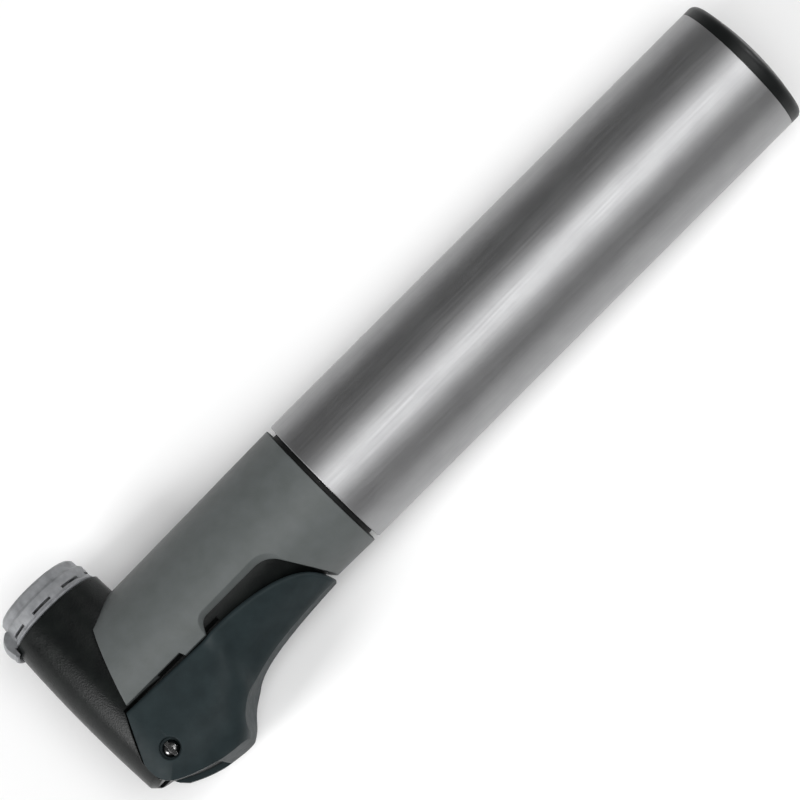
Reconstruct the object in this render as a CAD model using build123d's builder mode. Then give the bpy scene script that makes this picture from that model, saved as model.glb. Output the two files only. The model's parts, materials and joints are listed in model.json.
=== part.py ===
from build123d import *
import os
from math import asin, cos, degrees, pi, radians, sin, sqrt

# A short telescopic hand pump with a thumb-lock valve head, in millimetres.
# X runs along the barrel, from the head towards the end cap, with the origin on the barrel's axis at its
# open end. +Y is the way the valve mouth faces, so the thumb lever is on -Y. The pump lies on its side
# with +Z up, and it is the same on both sides of the plane z = 0.

os.makedirs("parts", exist_ok=True)

# Barrel and end cap
BARREL_R = 13.5
BARREL_BORE_R = 12.4
BARREL_LENGTH = 102.6
BARREL_EDGE = 0.15
CAP_CROWN = 106.7
CAP_SHOULDER = 105.0
CAP_EDGE_R = 1.3
CAP_SPIGOT_START = 97.0
CAP_SPIGOT_WALL = 1.6
CAP_FACE_INSIDE = 102.0
CAP_HUB_R = 5.5
CAP_HUB_START = 98.5
CAP_RIB_COUNT = 6
CAP_RIB_WIDTH = 1.2
CAP_RIB_LENGTH = 5.6
CAP_RIB_SET_BACK = 0.6
CAP_POCKET_R = 4.1
CAP_POCKET_FLOOR = 101.5
PLUG_FACE = 106.5
PLUG_THICKNESS = 1.2
BUSH_START = 0.3
BUSH_LENGTH = 9.0

# Pump cylinder, which the barrel slides over
CYLINDER_R = 10.6
CYLINDER_BORE_R = 9.7
CYLINDER_START = -18.0
CYLINDER_END = 92.0
SOCKET_FLOOR = -20.0
SOCKET_ORING_R = 9.55
SOCKET_ORING_SECTION = 0.97
GLAND_START = 84.0
GLAND_END = 95.5
BUMPER_LENGTH = 2.0
BUMPER_BORE_R = 5.0
GLAND_SLOT_COUNT = 4
GLAND_SLOT_RING_R = 7.0
GLAND_SLOT_LENGTH = 2.0
GLAND_SLOT_WIDTH = 1.6
SEAT_START = -17.95
SEAT_THICKNESS = 3.9
AIR_HOLE_R = 0.8
AIR_HOLE_COUNT = 6
FLAP_R = 5.6
FLAP_STEM_R = 1.2
FLAP_BULB_R = 1.9
AIR_HOLE_RING_R = 3.6
PIN_HOLE_X = -16.0
PIN_R = 0.75

# Piston and rod
PISTON_FRONT = -2.0
PISTON_BACK = 6.5
PISTON_R = 9.45
ROD_R = 3.0
ROD_START = 0.5
ROD_END = 98.0
CUP_THICKNESS = 2.0
CUP_LENGTH = 6.0
CUP_CORE_R = 4.5
PISTON_POCKET_COUNT = 8
PISTON_POCKET_R = 1.1
PISTON_POCKET_DEPTH = 6.0
PISTON_POCKET_RING_R = 6.4
WASHER_R = 7.2
WASHER_THICKNESS = 1.0
SCREW_R = 2.0
SCREW_CORE_R = 1.75
SCREW_ENGAGED = 5.0
ROD_SCREW_ENGAGED = 7.0
THREAD_RUN_OUT = 0.5
SCREW_HEAD_R = 3.5
SCREW_HEAD_HEIGHT = 2.2
HEX_KEY_R = 1.5
HEX_KEY_DEPTH = 1.2
ROD_SCREW_HEAD = 1.8
ROD_WASHER_R = 4.6
END_PLAY = 0.15

# Head
BOSS_R = 11.8
BOSS_START = -44.0
HEAD_END = -1.0
SEAM_R = 11.9
SEAM_END = -0.1
SHELL_SEAM_R = 13.45
SHELL_NECK_R = 12.85
SHELL_NECK_X = -40.0
SPLIT_Y = -5.2
LIP_Y = -6.2
SHELL_START = -53.0
SLANT_TOP_X = -42.9
SLANT_TOP_Y = 20.0
SLANT_KNEE = (-46.8, 8.2)
SLANT_FOOT_X = -51.3
LIP_START = -38.4
LIP_SLANT = 0.4
LIP_END = -30.0
RECESS_TOP = -3.85
RECESS_LEFT = (-34.2, -8.0)
RECESS_TOP_LEFT = -31.6
RECESS_TOP_RIGHT = -16.1
RECESS_RIGHT = (-9.7, -13.6)
RECESS_LEFT_R = 2.0
RECESS_RIGHT_R = 4.5
RECESS_BEVEL_DEPTH = 3.0
RECESS_BEVEL_Z = 11.3
RECESS_BEVEL_ANGLE = 32
VALVE_X = -50.2
MOUTH_Y = 16.9
HOUSING_MOUTH_R = 9.7
HOUSING_MID_R = 10.0
HOUSING_MID_Y = 5.0
HOUSING_FOOT_R = 9.25
HOUSING_FOOT_Y = -17.9
HOUSING_TOE = 1.1
CHAMBER_R = 7.6
CHAMBER_FLOOR = -4.6
AIR_R = 1.3

# Lever and its pin
PIVOT_X, PIVOT_Y = -51.2, -15.6
PIVOT_R = 1.5
PIN_END = 9.5
PIN_DOME_R = 1.0
LEVER_TURN = pi / 2
PIVOT_RECESS_R = 2.0
PIVOT_RECESS_DEPTH = 1.1
PIN_SLOT_WIDTH = 0.8
PIN_SLOT_DEPTH = 0.7
CHEEK_OUT = 9.7
CHEEK_IN = 6.9
CHEEK_WAIST = (-55.1, -11.1)
CHEEK_FOOT_R = 5.6
CHEEK_FOOT_START = 162
CHEEK_FOOT_SWEEP = 50
CHEEK_ROUND_R = 9.8
CHEEK_END_X = -31.6
CHEEK_ROOM = 0.25
FLAT_Z = 6.75
BOSS_TRIM_X = -29.6
WEB_Z = 2.0
SLOT_Z = 2.2
SLOT_R = 7.3
SLOT_ROOF = -12.2
SLOT_LEFT = -56.0
SLOT_RIGHT = -42.0
LUG_R = 8.0
LUG_GAP = 0.3
LUG_ROOT = -10.0
BOSS_FLOOR = -11.9
CHANNEL_FLOOR = -12.15
LEVER_TOP = -6.3
LEVER_CORNER = (-52.4, -5.65)
LEVER_TIP = (-10.9, -14.0)
RAMP_MIDDLE = ((-22.5, -14.7), (-32.6, -16.8), (-38.0, -20.2))
TONGUE_TOP = ((-31.0, LEVER_TOP), (-21.6, -7.1), (-15.2, -9.0), (-10.9, -13.2))
LEVER_EDGE_R = 0.6
TONGUE_R = 13.5
TONGUE_BORE_R = 12.15
HEEL = (-40.2, -23.3)
HEEL_DEPTH = 23.9
SOLE_MIDDLE = (-48.7, -22.3)
SOLE_END = (-56.7, -18.6)
SOLE_INSET = 1.0
HEEL_POCKET = ((-41.9, -12.0), (-36.0, -12.0), (-36.0, -15.4), (-39.6, -19.6), (-41.9, -19.6))
WEB_RIGHT = ((-38.5, -19.0), (-35.5, -12.6))
WEB_TOP = ((-45.4, -12.6), (-47.8, -11.8), (-50.2, -11.5))
CAM_LOW = 4.2
CAM_RISE = 2.0

# Plunger, gasket and collar
STEM_R = 3.5
PLUNGER_FOOT = -11.33
PLUNGER_TOP = 5.0
PLUNGER_DISC = 1.6
NECK_R = 4.6
PLUNGER_GAP = 0.3
PLUNGER_WELL_R = 2.6
PLUNGER_WELL_FLOOR = -1.0
AIR_CROSS_R = 1.0
AIR_CROSS_Y = 0.8
ORING_START = -8.35
ORING_WIDTH = 1.3
ORING_SECTION = 0.6
GROOVE_R = 2.3
GASKET_START = 7.1
GASKET_END = 13.4
GASKET_BORE_R = 3.95
COLLAR_TOP = 19.8
COLLAR_R = 7.7
COLLAR_BORE_R = 4.4
KNURL_COUNT = 20
KNURL_R = 0.55
KNURL_START = 17.5

# Dust cap
DUST_BASE = 17.2
DUST_STEP = 20.7
DUST_TOP = 22.6
DUST_R = 9.0
DUST_TOP_R = 8.5
DUST_BORE_R = 7.95
DUST_ROOF = 0.9
TAB_HALF_ANGLE = 26
DUST_SLOT_COUNT = 7
DUST_SLOT_PITCH = 45
DUST_SLOT_WIDTH = 4.2
DUST_SLOT_Y = 18.2
DUST_SLOT_HEIGHT = 0.5
DUST_BEAD = 0.2

SLIP = 0.02  # between two pieces of one assembly
RUNNING = 0.05  # radial clearance of a running fit
EASE = 0.4  # chamfer on the edges of the small inner pieces
BEYOND = 30  # outside the head to both sides, above and below, where a cut may end
LEFT_OF_HEAD = -65

VALVE = Plane(origin=(VALVE_X, 0, 0), x_dir=(1, 0, 0), z_dir=(0, 1, 0))
VALVE_AXIS = Axis((VALVE_X, 0, 0), (0, 1, 0))
PIVOT = Plane(origin=(PIVOT_X, PIVOT_Y, 0), x_dir=(1, 0, 0), z_dir=(0, 0, 1))


def save(part, label):
    """Name a finished piece and write it."""
    part.label = label
    export_step(part, f"parts/{label}.step")


def round_x(radius, start, end, mode=Mode.ADD):
    """A cylinder along the barrel's axis."""
    with BuildSketch(Plane.YZ.offset(start)) as disc:
        Circle(radius)
    extrude(disc.sketch, amount=end - start, mode=mode)


def round_y(radius, start, end, mode=Mode.ADD):
    """A cylinder along the valve's axis."""
    with BuildSketch(VALVE.offset(start)) as disc:
        Circle(radius)
    extrude(disc.sketch, amount=end - start, mode=mode)


def round_z(radius, half_width, mode=Mode.ADD):
    """A cylinder along the lever's pivot, the same length each side of the middle."""
    with BuildSketch(PIVOT) as disc:
        Circle(radius)
    extrude(disc.sketch, amount=half_width, both=True, mode=mode)


def housing_profile():
    """Half of the valve housing's slightly barrelled outline, to turn about the valve's axis."""
    mouth = (VALVE_X - HOUSING_MOUTH_R, MOUTH_Y)
    middle = (VALVE_X - HOUSING_MID_R, HOUSING_MID_Y)
    foot = (VALVE_X - HOUSING_FOOT_R, HOUSING_FOOT_Y + HOUSING_TOE)
    toe = (VALVE_X - HOUSING_FOOT_R + HOUSING_TOE, HOUSING_FOOT_Y)
    ThreePointArc(mouth, middle, foot)
    Polyline(foot, toe, (VALVE_X, HOUSING_FOOT_Y), (VALVE_X, MOUTH_Y), mouth)


def sole_line(start=0.0, end=1.0, inset=0.0):
    """A stretch of the underside of the lever's heel and cheeks, from right to left."""
    points = [(x, y + inset) for x, y in (HEEL, SOLE_MIDDLE, SOLE_END)]
    whole = ThreePointArc(*points, mode=Mode.PRIVATE)
    return ThreePointArc(whole @ start, whole @ ((start + end) / 2), whole @ end)


def cheek_edge(clearance=0.0):
    """The cheek's left edge, from its top corner down to its foot, which is round about the pivot."""
    top = (LEVER_CORNER[0] - clearance, LEVER_CORNER[1])
    waist = (CHEEK_WAIST[0] - 1.5 * clearance, CHEEK_WAIST[1])
    foot = CenterArc((PIVOT_X, PIVOT_Y), CHEEK_FOOT_R + clearance, CHEEK_FOOT_START, CHEEK_FOOT_SWEEP)
    ThreePointArc(top, waist, foot @ 0)
    return top, foot @ 1


def arc_about_pivot(radius, start_angle, top_y):
    """An arc about the lever's pivot, from an angle below the horizontal up to that height."""
    end_angle = degrees(asin((top_y - PIVOT_Y) / radius))
    return CenterArc((PIVOT_X, PIVOT_Y), radius, start_angle, end_angle - start_angle)


# Valve housing and boss, one black moulding
with BuildPart() as head_core:
    with BuildSketch(Plane.XY):
        with BuildLine():
            housing_profile()
        make_face()
    revolve(axis=VALVE_AXIS)
    round_x(BOSS_R, BOSS_START, HEAD_END)
    # room at each side for the lever's cheeks
    with BuildSketch(Plane.XY.offset(FLAT_Z), Plane.XY.offset(-TONGUE_R)):
        with BuildLine():
            top, foot = cheek_edge(clearance=CHEEK_ROOM)
            Polyline(
                top,
                (top[0], SPLIT_Y),
                (BOSS_TRIM_X, SPLIT_Y),
                (BOSS_TRIM_X, -BEYOND),
                (foot.X, -BEYOND),
                foot,
            )
        make_face()
    extrude(amount=TONGUE_R - FLAT_Z, mode=Mode.SUBTRACT)
    # lug between the cheeks, flush with their inner edges
    with BuildSketch(Plane.XY):
        with BuildLine():
            sole = sole_line(inset=SOLE_INSET)
            Polyline(sole @ 1, ((sole @ 1).X, LUG_ROOT), (HEEL[0], LUG_ROOT), sole @ 0)
        make_face()
    extrude(amount=FLAT_Z, both=True)
    # its right side is round about the pivot, so that the lever's heel passes outside it
    with BuildSketch(Plane.XY):
        with BuildLine():
            lug = arc_about_pivot(LUG_R, -62, BOSS_FLOOR)
            corner = (BOSS_TRIM_X, BOSS_FLOOR)
            Polyline(lug @ 1, corner, (BOSS_TRIM_X, -BEYOND), ((lug @ 0).X, -BEYOND), lug @ 0)
        make_face()
    extrude(amount=BEYOND, both=True, mode=Mode.SUBTRACT)
    # slot for the cam and the web
    round_z(SLOT_R, SLOT_Z, mode=Mode.SUBTRACT)
    with BuildSketch(Plane.XY):
        with BuildLine():
            Polyline(
                (SLOT_LEFT, -BEYOND),
                (SLOT_LEFT, PIVOT_Y),
                (-50, SLOT_ROOF),
                (SLOT_RIGHT, SLOT_ROOF),
                (SLOT_RIGHT, -BEYOND),
                (SLOT_LEFT, -BEYOND),
            )
        make_face()
    extrude(amount=SLOT_Z, both=True, mode=Mode.SUBTRACT)
    # valve chamber, plunger guide and air passage
    round_y(CHAMBER_R, CHAMBER_FLOOR, MOUTH_Y, mode=Mode.SUBTRACT)
    round_y(STEM_R + RUNNING, PLUNGER_FOOT - 0.5, CHAMBER_FLOOR, mode=Mode.SUBTRACT)
    round_x(AIR_R, VALVE_X, SOCKET_FLOOR, mode=Mode.SUBTRACT)
    # socket for the pump cylinder, and holes for its two locking pins
    round_x(CYLINDER_R + SLIP, SOCKET_FLOOR, HEAD_END, mode=Mode.SUBTRACT)
    with Locations((PIN_HOLE_X, 0, 0)):
        Cylinder(PIN_R + SLIP, 2 * BOSS_R + 2, mode=Mode.SUBTRACT)
    round_z(PIVOT_R, CHEEK_OUT, mode=Mode.SUBTRACT)
save(head_core.part, "head_core")

# Grey cover of the head. It wraps the boss and the sides of the valve housing, and is open below for
# the lever
with BuildPart() as head_shell:
    with BuildSketch(Plane.XY):
        with BuildLine():
            Polyline(
                (SHELL_START, 0),
                (SHELL_START, SHELL_NECK_R),
                (SHELL_NECK_X, SHELL_NECK_R),
                (HEAD_END, SHELL_SEAM_R),
                (HEAD_END, 0),
                (SHELL_START, 0),
            )
        make_face()
    revolve(axis=Axis.X)
    round_x(BOSS_R, BOSS_START, HEAD_END, mode=Mode.SUBTRACT)
    with BuildSketch(Plane.XY):
        with BuildLine():
            housing_profile()
        make_face()
    revolve(axis=VALVE_AXIS, mode=Mode.SUBTRACT)
    # slanted left end, and the split line above the lever with its small lip
    with BuildSketch(Plane.XY):
        with BuildLine():
            Polyline(
                (LEFT_OF_HEAD, BEYOND),
                (SLANT_TOP_X, BEYOND),
                (SLANT_TOP_X, SLANT_TOP_Y),
                SLANT_KNEE,
                (SLANT_FOOT_X, SPLIT_Y),
                (LIP_START, SPLIT_Y),
                (LIP_START + LIP_SLANT, LIP_Y),
                (LIP_END, LIP_Y),
                (LIP_END, -BEYOND),
                (LEFT_OF_HEAD, -BEYOND),
                (LEFT_OF_HEAD, BEYOND),
            )
        make_face()
    extrude(amount=BEYOND, both=True, mode=Mode.SUBTRACT)
    # thumb recess, which bares the boss above the lever's tongue
    with BuildSketch(Plane.XY) as recess:
        with BuildLine():
            Polyline(
                (RECESS_LEFT[0], -BEYOND),
                RECESS_LEFT,
                (RECESS_TOP_LEFT, RECESS_TOP),
                (RECESS_TOP_RIGHT, RECESS_TOP),
                RECESS_RIGHT,
                (RECESS_RIGHT[0], -BEYOND),
                (RECESS_LEFT[0], -BEYOND),
            )
        make_face()
        fillet(recess.vertices().group_by(Axis.Y)[-1].sort_by(Axis.X)[0], RECESS_LEFT_R)
        fillet(recess.vertices().group_by(Axis.Y)[-1].sort_by(Axis.X)[-1], RECESS_RIGHT_R)
    extrude(amount=BEYOND, both=True, mode=Mode.SUBTRACT)
    for side in (1, -1):
        with BuildSketch(Plane.XY.offset(side * RECESS_BEVEL_Z)):
            add(recess.sketch)
        extrude(amount=side * RECESS_BEVEL_DEPTH, taper=-RECESS_BEVEL_ANGLE, mode=Mode.SUBTRACT)
save(head_shell.part, "head_shell")

# Recessed ring in the joint between the head and the barrel
with BuildPart() as seam_ring:
    round_x(SEAM_R, HEAD_END, SEAM_END)
    round_x(CYLINDER_R, HEAD_END, SEAM_END, mode=Mode.SUBTRACT)
save(seam_ring.part, "seam_ring")

# Pump cylinder
with BuildPart() as inner_cylinder:
    round_x(CYLINDER_R, CYLINDER_START, CYLINDER_END)
    round_x(CYLINDER_BORE_R, CYLINDER_START, CYLINDER_END, mode=Mode.SUBTRACT)
    with Locations((PIN_HOLE_X, 0, 0)):
        Cylinder(PIN_R + SLIP, 2 * BOSS_R, mode=Mode.SUBTRACT)
save(inner_cylinder.part, "inner_cylinder")

with BuildPart() as cylinder_oring:
    with BuildSketch(Plane.XY):
        with Locations(((SOCKET_FLOOR + CYLINDER_START) / 2, SOCKET_ORING_R)):
            Circle(SOCKET_ORING_SECTION)
    revolve(axis=Axis.X)
save(cylinder_oring.part, "cylinder_oring")

# Insert at the cylinder's blind end, with a ring of air holes under the flap valve
with BuildPart() as check_valve_seat:
    round_x(CYLINDER_BORE_R - SLIP, SEAT_START, SEAT_START + SEAT_THICKNESS)
    with BuildSketch(Plane.YZ.offset(SEAT_START)):
        Circle(FLAP_STEM_R + RUNNING)
        with PolarLocations(AIR_HOLE_RING_R, AIR_HOLE_COUNT):
            Circle(AIR_HOLE_R)
    extrude(amount=SEAT_THICKNESS, mode=Mode.SUBTRACT)
    for side in (1, -1):
        with BuildSketch(Plane.XY.offset(side * (CYLINDER_BORE_R - 2))):
            with Locations((PIN_HOLE_X, 0)):
                Circle(PIN_R + SLIP)
        extrude(amount=side * 3, mode=Mode.SUBTRACT)
save(check_valve_seat.part, "check_valve_seat")

# Rubber flap valve: a thin dished head, and a stem with a bulb that holds it in the seat
with BuildPart() as check_valve:
    with BuildSketch(Plane.XY):
        with BuildLine():
            flap = SEAT_START - SLIP
            bulb = SEAT_START + SEAT_THICKNESS + SLIP
            Polyline(
                (flap, FLAP_STEM_R),
                (flap, FLAP_R),
                (flap - 0.5, FLAP_R),
                (flap - 0.9, FLAP_R / 2),
                (flap - 1.1, 0),
            )
            Line((flap - 1.1, 0), (bulb + 1.8, 0))
            ThreePointArc((bulb + 1.8, 0), (bulb + 1.2, 1.4), (bulb, FLAP_BULB_R))
            Polyline((bulb, FLAP_BULB_R), (bulb, FLAP_STEM_R), (flap, FLAP_STEM_R))
        make_face()
    revolve(axis=Axis.X)
save(check_valve.part, "check_valve")

# Two short pins that lock the cylinder and the seat in the head
with BuildPart() as cylinder_pins:
    for side in (1, -1):
        with BuildSketch(Plane.XY.offset(side * (CYLINDER_BORE_R - 1.9))):
            with Locations((PIN_HOLE_X, 0)):
                Circle(PIN_R)
        extrude(amount=side * (BOSS_R - CYLINDER_BORE_R + 1.6))
save(cylinder_pins.part, "cylinder_pins")

# Guide collar at the cylinder's open end
with BuildPart() as cylinder_gland:
    round_x(CYLINDER_BORE_R - SLIP, GLAND_START, CYLINDER_END)
    round_x(BARREL_BORE_R - RUNNING, CYLINDER_END, GLAND_END)
    round_x(ROD_R + RUNNING, GLAND_START, GLAND_END, mode=Mode.SUBTRACT)
    chamfer(cylinder_gland.edges().filter_by(GeomType.CIRCLE).sort_by(Axis.X)[-1], EASE)
    # breathing slots in the collar
    with BuildSketch(Plane.YZ.offset(GLAND_END)):
        with PolarLocations(GLAND_SLOT_RING_R, GLAND_SLOT_COUNT):
            SlotCenterToCenter(GLAND_SLOT_LENGTH, GLAND_SLOT_WIDTH, rotation=90)
    extrude(amount=GLAND_START - GLAND_END, mode=Mode.SUBTRACT)
save(cylinder_gland.part, "cylinder_gland")

with BuildPart() as gland_bumper:
    round_x(CYLINDER_BORE_R - 0.3, GLAND_START - BUMPER_LENGTH, GLAND_START)
    round_x(BUMPER_BORE_R, GLAND_START - BUMPER_LENGTH, GLAND_START, mode=Mode.SUBTRACT)
    chamfer(gland_bumper.edges().group_by(Axis.X)[0], EASE)
save(gland_bumper.part, "gland_bumper")

# Piston with its cup seal, washer and screw
with BuildPart() as piston:
    round_x(PISTON_R, PISTON_FRONT, PISTON_BACK)
    chamfer(piston.edges().group_by(Axis.X)[-1], EASE)
    round_x(CUP_CORE_R, PISTON_FRONT - CUP_THICKNESS, PISTON_FRONT)
    round_x(SCREW_R + SLIP, PISTON_FRONT - CUP_THICKNESS, ROD_START, mode=Mode.SUBTRACT)
    round_x(ROD_R + SLIP, ROD_START, PISTON_BACK, mode=Mode.SUBTRACT)
    with BuildSketch(Plane.YZ.offset(PISTON_BACK)):
        with PolarLocations(PISTON_POCKET_RING_R, PISTON_POCKET_COUNT):
            Circle(PISTON_POCKET_R)
    extrude(amount=-PISTON_POCKET_DEPTH, mode=Mode.SUBTRACT)
save(piston.part, "piston")

with BuildPart() as piston_cup_seal:
    with BuildSketch(Plane.XY):
        with BuildLine():
            Polyline(
                (PISTON_FRONT - SLIP, CUP_CORE_R + SLIP),
                (PISTON_FRONT - SLIP, 9.2),
                (PISTON_FRONT - CUP_LENGTH + 0.4, 9.64),
                (PISTON_FRONT - CUP_LENGTH, 9.2),
                (PISTON_FRONT - CUP_THICKNESS, 7.9),
                (PISTON_FRONT - CUP_THICKNESS, CUP_CORE_R + SLIP),
                (PISTON_FRONT - SLIP, CUP_CORE_R + SLIP),
            )
        make_face()
    revolve(axis=Axis.X)
save(piston_cup_seal.part, "piston_cup_seal")

with BuildPart() as piston_washer:
    washer_back = PISTON_FRONT - CUP_THICKNESS - SLIP
    washer_front = washer_back - WASHER_THICKNESS
    round_x(WASHER_R, washer_front, washer_back)
    round_x(SCREW_R + SLIP, washer_front, washer_back, mode=Mode.SUBTRACT)
save(piston_washer.part, "piston_washer")

with BuildPart() as piston_screw:
    head_back = washer_front - SLIP
    head_front = head_back - SCREW_HEAD_HEIGHT
    round_x(SCREW_HEAD_R, head_front, head_back)
    fillet(piston_screw.edges().group_by(Axis.X)[0], 0.8)
    round_x(SCREW_R, head_back, ROD_START + SCREW_ENGAGED)
    with BuildSketch(Plane.YZ.offset(head_front)):
        RegularPolygon(HEX_KEY_R, 6)
    extrude(amount=HEX_KEY_DEPTH, mode=Mode.SUBTRACT)
save(piston_screw.part, "piston_screw")

with BuildPart() as piston_rod:
    round_x(ROD_R, ROD_START, ROD_END)
    chamfer(piston_rod.edges().filter_by(GeomType.CIRCLE), 0.3)
    round_x(SCREW_R + SLIP, ROD_START, ROD_START + SCREW_ENGAGED + THREAD_RUN_OUT, mode=Mode.SUBTRACT)
    round_x(SCREW_CORE_R, ROD_END - ROD_SCREW_ENGAGED - THREAD_RUN_OUT, ROD_END, mode=Mode.SUBTRACT)
save(piston_rod.part, "piston_rod")

# Shoulder screw on which the barrel can turn, and the thrust washer at the rod's end
with BuildPart() as rod_screw:
    shoulder = ROD_END + SLIP
    head_under = CAP_POCKET_FLOOR + END_PLAY
    head_face = head_under + ROD_SCREW_HEAD
    round_x(SCREW_CORE_R - SLIP, ROD_END - ROD_SCREW_ENGAGED, shoulder)
    round_x(SCREW_R, shoulder, head_under)
    round_x(SCREW_HEAD_R, head_under, head_face)
    with BuildSketch(Plane.YZ.offset(head_face)):
        RegularPolygon(HEX_KEY_R, 6)
    extrude(amount=-HEX_KEY_DEPTH, mode=Mode.SUBTRACT)
save(rod_screw.part, "rod_screw")

with BuildPart() as rod_washer:
    washer_end = CAP_HUB_START - END_PLAY / 2
    round_x(ROD_WASHER_R, shoulder, washer_end)
    round_x(SCREW_R + SLIP, shoulder, washer_end, mode=Mode.SUBTRACT)
save(rod_washer.part, "rod_washer")

# Barrel, which is also the handle
with BuildPart() as barrel_tube:
    round_x(BARREL_R, 0, BARREL_LENGTH)
    round_x(BARREL_BORE_R, 0, BARREL_LENGTH, mode=Mode.SUBTRACT)
    chamfer(barrel_tube.edges().group_by(Axis.X)[0].sort_by(SortBy.RADIUS)[-1], BARREL_EDGE)
save(barrel_tube.part, "barrel_tube")

with BuildPart() as barrel_bush:
    round_x(BARREL_BORE_R - SLIP, BUSH_START, BUSH_START + BUSH_LENGTH)
    round_x(CYLINDER_R + RUNNING, BUSH_START, BUSH_START + BUSH_LENGTH, mode=Mode.SUBTRACT)
    chamfer(barrel_bush.edges().group_by(Axis.X)[0].sort_by(SortBy.RADIUS)[0], EASE)
save(barrel_bush.part, "barrel_bush")


def crown_point(radius):
    """The point of the cap's crowned face at that distance from the axis."""
    height = CAP_CROWN - CAP_SHOULDER
    crown_r = (BARREL_R**2 + height**2) / (2 * height)
    return CAP_CROWN - crown_r + sqrt(crown_r**2 - radius**2), radius


# Crowned cap with a spigot, and a ribbed hub for the shoulder screw
with BuildPart() as end_cap:
    with BuildSketch(Plane.XY) as crown:
        with BuildLine():
            inner, middle, outer = [crown_point(radius) for radius in (CAP_POCKET_R, 9.0, BARREL_R)]
            ThreePointArc(inner, middle, outer)
            Polyline(outer, (BARREL_LENGTH, BARREL_R), (BARREL_LENGTH, CAP_POCKET_R), inner)
        make_face()
        fillet(crown.vertices().group_by(Axis.Y)[-1].sort_by(Axis.X)[-1], CAP_EDGE_R)
    revolve(axis=Axis.X)
    round_x(BARREL_BORE_R - SLIP, CAP_SPIGOT_START, BARREL_LENGTH)
    round_x(BARREL_BORE_R - CAP_SPIGOT_WALL, CAP_SPIGOT_START, CAP_FACE_INSIDE, mode=Mode.SUBTRACT)
    round_x(CAP_HUB_R, CAP_HUB_START, BARREL_LENGTH)
    with BuildSketch(Plane.YZ.offset(CAP_HUB_START + CAP_RIB_SET_BACK)):
        with PolarLocations(CAP_HUB_R + CAP_RIB_LENGTH / 2 - 0.2, CAP_RIB_COUNT):
            Rectangle(CAP_RIB_LENGTH, CAP_RIB_WIDTH)
    extrude(amount=BARREL_LENGTH - CAP_HUB_START - CAP_RIB_SET_BACK)
    round_x(SCREW_R + RUNNING, CAP_HUB_START, CAP_POCKET_FLOOR, mode=Mode.SUBTRACT)
    round_x(CAP_POCKET_R, CAP_POCKET_FLOOR, CAP_CROWN, mode=Mode.SUBTRACT)
save(end_cap.part, "end_cap")

with BuildPart() as end_plug:
    round_x(CAP_POCKET_R - SLIP, PLUG_FACE - PLUG_THICKNESS, PLUG_FACE)
    chamfer(end_plug.edges().group_by(Axis.X)[-1], EASE)
save(end_plug.part, "end_plug")

# Thumb lever: two cheeks on the pin, a tongue under the boss, a heel, and a cam between the cheeks.
# Its outer section has five points a side, each given over the tongue (angle below the horizontal, and the
# share of the way from the barrel's radius down to the full depth) and over the heel (half width, and drop
# as a share of the depth).
TONGUE_ANGLES = (0, 29, 51, 71, 90)
TONGUE_BULGE = (0, 0, 0.12, 0.6, 1)
HEEL_SECTION = ((9.7, 0), (9.7, 0.40), (9.35, 0.78), (7.0, 0.95), (0, 1))


def lever_section(station, depth):
    """Half of the lever's outer section: square over the cheeks and the heel, and round over the tongue."""
    share = min(max((station + 35.5) / 5.0, 0), 1)
    share = share * share * (3 - 2 * share)
    half = []
    for angle, bulge, (width, drop) in zip(TONGUE_ANGLES, TONGUE_BULGE, HEEL_SECTION):
        radius = TONGUE_R + bulge * (depth - TONGUE_R)
        z = share * radius * cos(radians(angle)) + (1 - share) * width
        y = -share * radius * sin(radians(angle)) - (1 - share) * drop * depth
        half.append((z, y))
    return half


def cam_point(turn):
    """A point of the cam, whose reach above the pivot rises evenly with the lever's turn."""
    angle = pi / 2 + turn
    rise = CAM_RISE / LEVER_TURN
    reach = CAM_LOW + rise * turn
    return (
        PIVOT_X + reach * cos(angle) - rise * sin(angle),
        PIVOT_Y + reach * sin(angle) + rise * cos(angle),
    )


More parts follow.
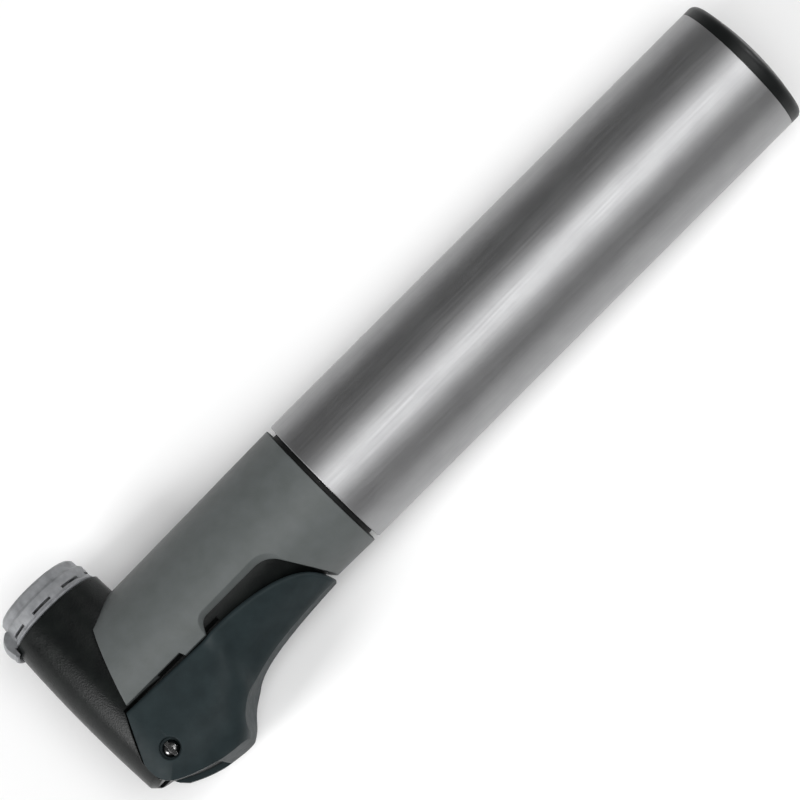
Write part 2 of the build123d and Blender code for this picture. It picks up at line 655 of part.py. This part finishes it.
with BuildPart() as thumb_lever:
    with BuildLine(Plane.XY):
        ramp = Spline(
            LEVER_TIP,
            *RAMP_MIDDLE,
            HEEL,
            tangents=((-1, -0.03), (-0.5, -0.87)),
            mode=Mode.PRIVATE,
        )
    stations = [(LEVER_TIP[0] + 1, -LEVER_TIP[1] + 0.1)]
    for step in range(1, 12):
        point = ramp @ (step / 12)
        stations.append((point.X, -point.Y + 0.1 + 0.5 * step / 12))
    stations += [(x, HEEL_DEPTH) for x in (-42.0, -46.0, -52.0, -58.0)]
    for station, depth in stations:
        with BuildSketch(Plane(origin=(station, 0, 0), x_dir=(0, 0, 1), z_dir=(-1, 0, 0))):
            with BuildLine():
                right = Spline(*lever_section(station, depth), tangents=((0, -1), (-1, 0)))
                left = mirror(right, about=Plane.YZ)
                Line(right @ 0, left @ 0)
            make_face()
    loft()
    # side outline
    with BuildSketch(Plane.XY):
        with BuildLine():
            top, foot = cheek_edge()
            sole = sole_line(end=0.87)
            Line(sole @ 1, foot)
            Polyline(top, (-34.0, LEVER_TOP), TONGUE_TOP[0])
            tongue = Spline(*TONGUE_TOP, tangents=((1, 0), (0.35, -0.94)))
            Line(tongue @ 1, LEVER_TIP)
            add(ramp)
        make_face()
    extrude(amount=BEYOND, both=True, mode=Mode.INTERSECT)
    # rounded upper rim, from the cheeks to the tongue
    upper = thumb_lever.edges().filter_by(lambda edge: edge.center().Y > LEVER_TOP - 1.5)
    rim = upper.filter_by(lambda edge: abs(edge.center().Z) > CHEEK_IN)
    fillet(rim, LEVER_EDGE_R)
    # the cheeks follow the round of the valve housing left of its axis
    with BuildSketch(VALVE.offset(LEVER_TOP)):
        with Locations((-BEYOND / 2, 0)):
            Rectangle(BEYOND, 2 * BEYOND)
        Circle(CHEEK_ROUND_R, mode=Mode.SUBTRACT)
    extrude(amount=-BEYOND, mode=Mode.SUBTRACT)
    # hollow of the tongue, and the channel between the cheeks above the heel's floor
    round_x(TONGUE_BORE_R, CHEEK_END_X, 0, mode=Mode.SUBTRACT)
    with BuildSketch(Plane.XY):
        with BuildLine():
            arch = arc_about_pivot(LUG_R + LUG_GAP, -60, CHANNEL_FLOOR)
            Polyline(
                arch @ 1,
                (CHEEK_END_X, CHANNEL_FLOOR),
                (CHEEK_END_X, 0),
                (LEFT_OF_HEAD, 0),
                (LEFT_OF_HEAD, -BEYOND),
                ((arch @ 0).X, -BEYOND),
                arch @ 0,
            )
        make_face()
    extrude(amount=CHEEK_IN, both=True, mode=Mode.SUBTRACT)
    # pockets that lighten the heel, one each side of the web
    with BuildSketch(Plane.XY):
        with BuildLine():
            Polyline(*HEEL_POCKET, close=True)
        make_face()
    extrude(amount=CHEEK_IN, both=True, mode=Mode.SUBTRACT)
    # the web: a cam above the pivot, and a rib through the heel
    with BuildSketch(Plane.XY):
        with BuildLine():
            cam = Spline(*[cam_point(LEVER_TURN * step / 6) for step in range(7)])
            sole = sole_line(start=0.25, inset=SOLE_INSET)
            Line(cam @ 1, sole @ 1)
            Polyline(sole @ 0, *WEB_RIGHT, WEB_TOP[0])
            ThreePointArc(*WEB_TOP)
            Line(WEB_TOP[-1], cam @ 0)
        make_face()
    extrude(amount=WEB_Z, both=True)
    # holes for the pin, with a shallow recess around its ends
    round_z(PIVOT_R + RUNNING, CHEEK_OUT + 1, mode=Mode.SUBTRACT)
    for side in (1, -1):
        with BuildSketch(PIVOT.offset(side * (CHEEK_OUT - PIVOT_RECESS_DEPTH))):
            Circle(PIVOT_RECESS_R)
        extrude(amount=side * 2, mode=Mode.SUBTRACT)
save(thumb_lever.part, "thumb_lever")

# Pin fixed in the head, with a domed, slotted end each side
with BuildPart() as lever_pin:
    round_z(PIVOT_R, PIN_END)
    fillet(lever_pin.edges().filter_by(GeomType.CIRCLE), PIN_DOME_R)
    for side in (1, -1):
        with BuildSketch(PIVOT.offset(side * PIN_END)):
            Rectangle(PIN_SLOT_WIDTH, 3 * PIVOT_R)
        extrude(amount=-side * PIN_SLOT_DEPTH, mode=Mode.SUBTRACT)
save(lever_pin.part, "lever_pin")

# Plunger between the cam and the gasket, with an air hole through its neck
with BuildPart() as seal_plunger:
    disc_floor = CHAMBER_FLOOR + 0.4
    round_y(STEM_R, PLUNGER_FOOT, ORING_START)
    round_y(GROOVE_R, ORING_START, ORING_START + ORING_WIDTH)
    round_y(STEM_R, ORING_START + ORING_WIDTH, disc_floor)
    round_y(CHAMBER_R - PLUNGER_GAP, disc_floor, disc_floor + PLUNGER_DISC)
    round_y(NECK_R, disc_floor + PLUNGER_DISC, PLUNGER_TOP - PLUNGER_DISC)
    round_y(CHAMBER_R - PLUNGER_GAP, PLUNGER_TOP - PLUNGER_DISC, PLUNGER_TOP)
    round_y(PLUNGER_WELL_R, PLUNGER_WELL_FLOOR, PLUNGER_TOP, mode=Mode.SUBTRACT)
    with BuildSketch(Plane.YZ.offset(VALVE_X)):
        with Locations((AIR_CROSS_Y, 0)):
            Circle(AIR_CROSS_R)
    extrude(amount=CHAMBER_R, both=True, mode=Mode.SUBTRACT)
save(seal_plunger.part, "seal_plunger")

with BuildPart() as plunger_oring:
    with BuildSketch(Plane.XY):
        with Locations((VALVE_X + GROOVE_R + ORING_SECTION + SLIP, ORING_START + ORING_WIDTH / 2)):
            Circle(ORING_SECTION)
    revolve(axis=VALVE_AXIS)
save(plunger_oring.part, "plunger_oring")

# Rubber gasket that grips the tyre valve
with BuildPart() as valve_gasket:
    round_y(CHAMBER_R - 0.05, GASKET_START, GASKET_END)
    round_y(GASKET_BORE_R, GASKET_START, GASKET_END, mode=Mode.SUBTRACT)
save(valve_gasket.part, "valve_gasket")

# Threaded collar that holds the gasket in the housing
with BuildPart() as mouth_nut:
    collar_start = MOUTH_Y + RUNNING
    round_y(CHAMBER_R - SLIP, GASKET_END + SLIP, collar_start)
    round_y(COLLAR_R, collar_start, COLLAR_TOP)
    fillet(mouth_nut.edges().group_by(Axis.Y)[-1], 0.5)
    round_y(COLLAR_BORE_R, GASKET_END, COLLAR_TOP, mode=Mode.SUBTRACT)
    chamfer(mouth_nut.edges().group_by(Axis.Y)[-1].sort_by(SortBy.RADIUS)[0], 1.0)
    with BuildSketch(VALVE.offset(KNURL_START)):
        with PolarLocations(COLLAR_R + KNURL_R / 2, KNURL_COUNT):
            Circle(KNURL_R)
    extrude(amount=COLLAR_TOP - KNURL_START, mode=Mode.SUBTRACT)
save(mouth_nut.part, "mouth_nut")

# Dust cap over the collar, in two steps, with a row of slots and a pull tab
with BuildPart() as dust_cap:
    with BuildSketch(Plane.XY):
        with BuildLine():
            Polyline(
                (VALVE_X, DUST_BASE),
                (VALVE_X + DUST_R, DUST_BASE),
                (VALVE_X + DUST_R + DUST_BEAD, DUST_BASE + DUST_BEAD),
                (VALVE_X + DUST_R + DUST_BEAD, DUST_BASE + 2 * DUST_BEAD),
                (VALVE_X + DUST_R, DUST_BASE + 4 * DUST_BEAD),
                (VALVE_X + DUST_R, DUST_STEP - 0.5),
                (VALVE_X + DUST_TOP_R + 0.1, DUST_STEP),
                (VALVE_X + DUST_TOP_R, DUST_STEP + 0.4),
                (VALVE_X + DUST_TOP_R - 0.1, DUST_TOP - 0.5),
                (VALVE_X + DUST_TOP_R - 0.6, DUST_TOP),
                (VALVE_X, DUST_TOP),
                (VALVE_X, DUST_BASE),
            )
        make_face()
    revolve(axis=VALVE_AXIS)
    with BuildSketch(Plane.XY) as tab:
        with BuildLine():
            root, shoulder, tip, inside = (-58.8, DUST_BASE), (-59.6, 20.5), (-61.0, 16.3), (-60.2, 16.0)
            Polyline(root, (root[0], shoulder[1]), shoulder)
            ThreePointArc(shoulder, (-61.3, 18.0), tip)
            ThreePointArc(tip, (-60.5, 15.6), inside)
            Polyline(inside, (inside[0], DUST_BASE), root)
        make_face()
    revolve(axis=VALVE_AXIS, revolution_arc=TAB_HALF_ANGLE)
    revolve(tab.sketch, axis=VALVE_AXIS, revolution_arc=-TAB_HALF_ANGLE)
    round_y(DUST_BORE_R, DUST_BASE, DUST_TOP - DUST_ROOF, mode=Mode.SUBTRACT)
    # the slots leave out the tab's side, which is local angle 180
    slot_start = 180 + DUST_SLOT_PITCH
    slot_range = DUST_SLOT_PITCH * (DUST_SLOT_COUNT - 1)
    with BuildSketch(VALVE.offset(DUST_SLOT_Y)):
        with PolarLocations(DUST_R, DUST_SLOT_COUNT, slot_start, slot_range, endpoint=True):
            Rectangle(2 * (DUST_R - DUST_BORE_R) + 1, DUST_SLOT_WIDTH)
    extrude(amount=DUST_SLOT_HEIGHT, mode=Mode.SUBTRACT)
save(dust_cap.part, "dust_cap")
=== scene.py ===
import json
from math import cos, pi, radians, sin, sqrt, tan

import bpy
from mathutils import Matrix, Vector


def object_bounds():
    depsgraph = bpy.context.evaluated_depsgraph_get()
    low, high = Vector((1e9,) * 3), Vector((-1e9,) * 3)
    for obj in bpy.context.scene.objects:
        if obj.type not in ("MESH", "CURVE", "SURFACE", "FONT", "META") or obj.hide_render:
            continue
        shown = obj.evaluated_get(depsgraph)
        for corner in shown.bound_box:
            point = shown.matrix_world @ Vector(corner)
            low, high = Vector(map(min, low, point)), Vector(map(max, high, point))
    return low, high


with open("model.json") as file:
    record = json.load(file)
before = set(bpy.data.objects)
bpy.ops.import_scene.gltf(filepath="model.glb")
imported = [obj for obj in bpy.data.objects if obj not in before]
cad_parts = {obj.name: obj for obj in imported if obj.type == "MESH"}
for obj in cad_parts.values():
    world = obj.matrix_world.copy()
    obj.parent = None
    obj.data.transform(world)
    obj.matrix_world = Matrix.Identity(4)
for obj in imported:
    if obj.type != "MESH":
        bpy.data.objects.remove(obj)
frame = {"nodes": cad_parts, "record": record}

# A short telescopic hand pump that lies on a pale floor. Lengths are in metres unless a name ends in mm,
# and angles are in degrees.

CAD_LOW, CAD_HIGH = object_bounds()
# the point that the camera and the lights aim at, near the middle of the pump
TARGET = Vector((0.0195, 0.0008, 0.0))
CAMERA_ELEVATION = 80
CAMERA_DISTANCE = 0.712
CAMERA_LENS_MM = 182
CAMERA_SENSOR_MM = 36
FLOOR_WIDTH = 6
ROOM_STRENGTH = 0.13
EDGE_SAMPLES = 6
WHITE = (1.0, 1.0, 1.0, 1)


# ---------------------------------------------------------------- material helpers

def new_material(name, **values):
    """A material with one Principled shader, whose even values are set on its own sockets."""
    material = bpy.data.materials.new(name)
    material.use_nodes = True
    shader = material.node_tree.nodes["Principled BSDF"]
    for socket, value in values.items():
        shader.inputs[socket.replace("_", " ")].default_value = value
    return material, material.node_tree, shader


def colour(red, green, blue):
    """A linear colour from three 0 to 255 display values."""
    return tuple(linear(value / 255) for value in (red, green, blue)) + (1,)


def linear(value):
    """A display value as a linear one."""
    return value / 12.92 if value <= 0.04045 else ((value + 0.055) / 1.055) ** 2.4


def place_mm(tree, stretch=(1, 1, 1)):
    """The point on the object in millimetres. A stretch over 1 draws the pattern out along that axis."""
    where = tree.nodes.new("ShaderNodeTexCoord")
    scale = tree.nodes.new("ShaderNodeMapping")
    scale.inputs["Scale"].default_value = [1000 / factor for factor in stretch]
    tree.links.new(where.outputs["Object"], scale.inputs["Vector"])
    return scale.outputs["Vector"]


def noise(tree, where, size_mm, detail=2.0, rough=0.5):
    """Soft noise with spots of about that size, from 0 to 1."""
    node = tree.nodes.new("ShaderNodeTexNoise")
    node.inputs["Scale"].default_value = 1 / size_mm
    node.inputs["Detail"].default_value = detail
    node.inputs["Roughness"].default_value = rough
    tree.links.new(where, node.inputs["Vector"])
    return node.outputs["Fac"]


def cells(tree, where, size_mm):
    """Rounded cells of about that size, like a spark-eroded mould surface."""
    node = tree.nodes.new("ShaderNodeTexVoronoi")
    node.feature = "SMOOTH_F1"
    node.inputs["Scale"].default_value = 1 / size_mm
    node.inputs["Smoothness"].default_value = 0.6
    tree.links.new(where, node.inputs["Vector"])
    return node.outputs["Distance"]


def between(tree, factor, low, high, start=0.3, end=0.7):
    """The factor's range from start to end, laid over the range from low to high."""
    node = tree.nodes.new("ShaderNodeMapRange")
    node.inputs["From Min"].default_value = start
    node.inputs["From Max"].default_value = end
    node.inputs["To Min"].default_value = low
    node.inputs["To Max"].default_value = high
    tree.links.new(factor, node.inputs["Value"])
    return node.outputs["Result"]


def tint(tree, shader, factor, dark, light):
    """Base colour that wanders from dark to light with the factor."""
    node = tree.nodes.new("ShaderNodeMix")
    node.data_type = "RGBA"
    node.inputs["A"].default_value = dark
    node.inputs["B"].default_value = light
    tree.links.new(factor, node.inputs["Factor"])
    tree.links.new(node.outputs["Result"], shader.inputs["Base Color"])


def bump(tree, shader, height, depth_mm, edge_mm=0.25, under=None):
    """Relief of that depth, on edges that are softened by that radius."""
    node = tree.nodes.new("ShaderNodeBump")
    node.inputs["Distance"].default_value = depth_mm / 1000
    node.inputs["Strength"].default_value = 1.0
    tree.links.new(height, node.inputs["Height"])
    if under is None:
        edge = tree.nodes.new("ShaderNodeBevel")
        edge.samples = EDGE_SAMPLES
        edge.inputs["Radius"].default_value = edge_mm / 1000
        under = edge.outputs["Normal"]
    tree.links.new(under, node.inputs["Normal"])
    tree.links.new(node.outputs["Normal"], shader.inputs["Normal"])
    return node.outputs["Normal"]


# ---------------------------------------------------------------- materials, one for each slot

def moulded(name, dark, light, roughness, grain_mm, depth_mm, edge_mm=0.3, **values):
    """Moulded plastic: a fine cell texture over a slight waviness, and a gloss that wanders a little."""
    material, tree, shader = new_material(name, **values)
    where = place_mm(tree)
    tint(tree, shader, between(tree, noise(tree, where, 3.0, 4.0), 0, 1), dark, light)
    gloss = between(tree, noise(tree, where, 1.4, 5.0, 0.6), roughness - 0.05, roughness + 0.05)
    tree.links.new(gloss, shader.inputs["Roughness"])
    wave = bump(tree, shader, noise(tree, where, 4.0), 0.01, edge_mm)
    bump(tree, shader, cells(tree, where, grain_mm), depth_mm, under=wave)
    return material


def anodised_aluminium():
    """Satin anodised tube, drawn along its length."""
    material, tree, shader = new_material("anodised_aluminium", Metallic=1.0)
    where = place_mm(tree)
    drawn = noise(tree, place_mm(tree, stretch=(40, 1, 1)), 0.35, 3.0)
    clouds = between(tree, noise(tree, where, 5.0, 3.0), 0, 1)
    tint(tree, shader, clouds, (0.31, 0.31, 0.315, 1), (0.34, 0.341, 0.345, 1))
    tree.links.new(between(tree, drawn, 0.41, 0.49), shader.inputs["Roughness"])
    streaks = bump(tree, shader, drawn, 0.002, 0.12)
    bump(tree, shader, noise(tree, where, 0.16, 2.0), 0.002, under=streaks)
    return material


def turned_metal(name, base, roughness, axis_stretch=(1, 1, 1)):
    """Metal with fine tool marks, which run along an axis whose stretch is over 1."""
    material, tree, shader = new_material(name, Metallic=1.0)
    marks = noise(tree, place_mm(tree, stretch=axis_stretch), 0.12, 2.0)
    light = tuple(min(1, value * 1.08) for value in base[:3]) + (1,)
    tint(tree, shader, between(tree, noise(tree, place_mm(tree), 2.0, 3.0), 0, 1), base, light)
    tree.links.new(between(tree, marks, roughness - 0.05, roughness + 0.06), shader.inputs["Roughness"])
    bump(tree, shader, marks, 0.003, 0.15)
    return material


def rubber():
    """Matt black rubber with a dusty bloom."""
    material, tree, shader = new_material("rubber_black", IOR=1.5)
    where = place_mm(tree)
    bloom = between(tree, noise(tree, where, 0.8, 5.0, 0.65), 0, 1)
    tint(tree, shader, bloom, colour(8, 9, 9), colour(14, 15, 15))
    tree.links.new(between(tree, noise(tree, where, 0.5, 4.0), 0.62, 0.8), shader.inputs["Roughness"])
    bump(tree, shader, noise(tree, where, 0.12, 3.0), 0.006, 0.2)
    return material


def frosted_plastic():
    """Translucent frosted plastic of the dust cap, clouded by its moulding."""
    material, tree, shader = new_material("frosted_plastic", IOR=1.5, Transmission_Weight=0.45)
    where = place_mm(tree)
    clouds = between(tree, noise(tree, where, 1.6, 4.0), 0, 1)
    tint(tree, shader, clouds, colour(132, 134, 137), colour(170, 172, 175))
    tree.links.new(between(tree, noise(tree, where, 0.9, 4.0), 0.38, 0.5), shader.inputs["Roughness"])
    bump(tree, shader, noise(tree, where, 0.25, 3.0), 0.012, 0.2)
    return material


FINISHES = {
    "anodised_aluminium": anodised_aluminium(),
    "cylinder_aluminium": turned_metal(
        "cylinder_aluminium", base=(0.78, 0.78, 0.79, 1), roughness=0.22, axis_stretch=(30, 1, 1)
    ),
    "steel": turned_metal("steel", base=(0.62, 0.62, 0.63, 1), roughness=0.2),
    "steel_black": turned_metal("steel_black", base=(0.12, 0.12, 0.12, 1), roughness=0.2),
    "housing_black": moulded(
        "housing_black",
        dark=colour(12, 14, 14),
        light=colour(19, 22, 21),
        roughness=0.32,
        grain_mm=0.3,
        depth_mm=0.016,
        Specular_IOR_Level=0.12,
    ),
    "cover_grey": moulded(
        "cover_grey",
        dark=colour(82, 86, 85),
        light=colour(88, 92, 92),
        roughness=0.5,
        grain_mm=0.22,
        depth_mm=0.006,
        Specular_IOR_Level=0.3,
    ),
    "lever_black": moulded(
        "lever_black",
        dark=colour(31, 39, 41),
        light=colour(37, 46, 48),
        roughness=0.5,
        grain_mm=0.3,
        depth_mm=0.004,
        edge_mm=0.4,
        Specular_IOR_Level=0.1,
    ),
    "cap_black": moulded(
        "cap_black",
        dark=colour(13, 15, 15),
        light=colour(18, 20, 20),
        roughness=0.4,
        grain_mm=0.3,
        depth_mm=0.006,
        Specular_IOR_Level=0.2,
    ),
    "rubber_black": rubber(),
    "acetal_white": moulded(
        "acetal_white",
        dark=colour(216, 214, 206),
        light=colour(226, 224, 217),
        roughness=0.35,
        grain_mm=0.5,
        depth_mm=0.003,
    ),
    "acetal_black": moulded(
        "acetal_black",
        dark=colour(26, 27, 28),
        light=colour(34, 35, 36),
        roughness=0.32,
        grain_mm=0.5,
        depth_mm=0.003,
    ),
    "collar_black": moulded(
        "collar_black",
        dark=colour(30, 31, 32),
        light=colour(40, 41, 42),
        roughness=0.42,
        grain_mm=0.3,
        depth_mm=0.008,
    ),
    "frosted_plastic": frosted_plastic(),
}

for part in frame["record"]["subparts"]:
    node = frame["nodes"][part["node"]]
    node.data.materials.clear()
    node.data.materials.append(FINISHES[part["material_slot"]])


# ---------------------------------------------------------------- floor, light and camera

def pale_floor():
    """A wide pale floor at the object's lowest point."""
    bpy.ops.mesh.primitive_plane_add(size=FLOOR_WIDTH, location=(TARGET.x, 0, CAD_LOW[2]))
    floor = bpy.context.object
    floor.name = "floor"
    material, tree, shader = new_material("floor_pale", Roughness=0.6)
    where = place_mm(tree)
    patches = between(tree, noise(tree, where, 60.0, 2.0), 0, 1)
    tint(tree, shader, patches, (0.9, 0.9, 0.9, 1), (0.92, 0.92, 0.92, 1))
    floor.data.materials.append(material)


def softbox(name, across, tilt, distance, width, length, radiance):
    """An area light that faces the object, and stands off straight up by both its angles."""
    data = bpy.data.lights.new(name, "AREA")
    data.shape = "RECTANGLE"
    data.size = width
    data.size_y = length
    data.energy = radiance * pi * width * length
    light = bpy.data.objects.new(name, data)
    bpy.context.collection.objects.link(light)
    direction = Vector((tan(radians(across)), tan(radians(tilt)), 1)).normalized()
    light.location = TARGET + distance * direction
    light.rotation_euler = direction.to_track_quat("Z", "Y").to_euler()
    light.visible_camera = False


def studio_light():
    """A large soft light over the object, one at each side, a faint one at its front, and a dim room."""
    softbox("key", across=6, tilt=-14.5, distance=0.9, width=0.8, length=0.6, radiance=3.5)
    softbox("left", across=-64, tilt=-6, distance=0.7, width=0.2, length=0.4, radiance=15.0)
    softbox("right", across=62, tilt=-6, distance=0.7, width=0.2, length=0.4, radiance=9.0)
    softbox("fill", across=0, tilt=-60, distance=0.9, width=1.0, length=0.5, radiance=0.15)
    world = bpy.data.worlds.new("room")
    world.use_nodes = True
    room = world.node_tree.nodes["Background"]
    room.inputs["Color"].default_value = WHITE
    room.inputs["Strength"].default_value = ROOM_STRENGTH
    bpy.context.scene.world = world


def photo_camera():
    """The camera looks down on the pump, and is rolled so that the barrel runs up to the right."""
    elevation = radians(CAMERA_ELEVATION)
    away = Vector((0, -cos(elevation), sin(elevation)))
    along = Vector((1, 0, 0))
    upward = away.cross(along)
    half = sqrt(0.5)
    right = (along * half - upward * half).normalized()
    up = away.cross(right)
    data = bpy.data.cameras.new("camera")
    data.lens = CAMERA_LENS_MM
    data.sensor_width = CAMERA_SENSOR_MM
    data.clip_start = 0.01
    camera = bpy.data.objects.new("camera", data)
    bpy.context.collection.objects.link(camera)
    turned = Matrix((right, up, away)).transposed().to_4x4()
    camera.matrix_world = Matrix.Translation(TARGET + away * CAMERA_DISTANCE) @ turned
    bpy.context.scene.camera = camera


pale_floor()
studio_light()
photo_camera()
bpy.context.scene.view_settings.view_transform = "Standard"
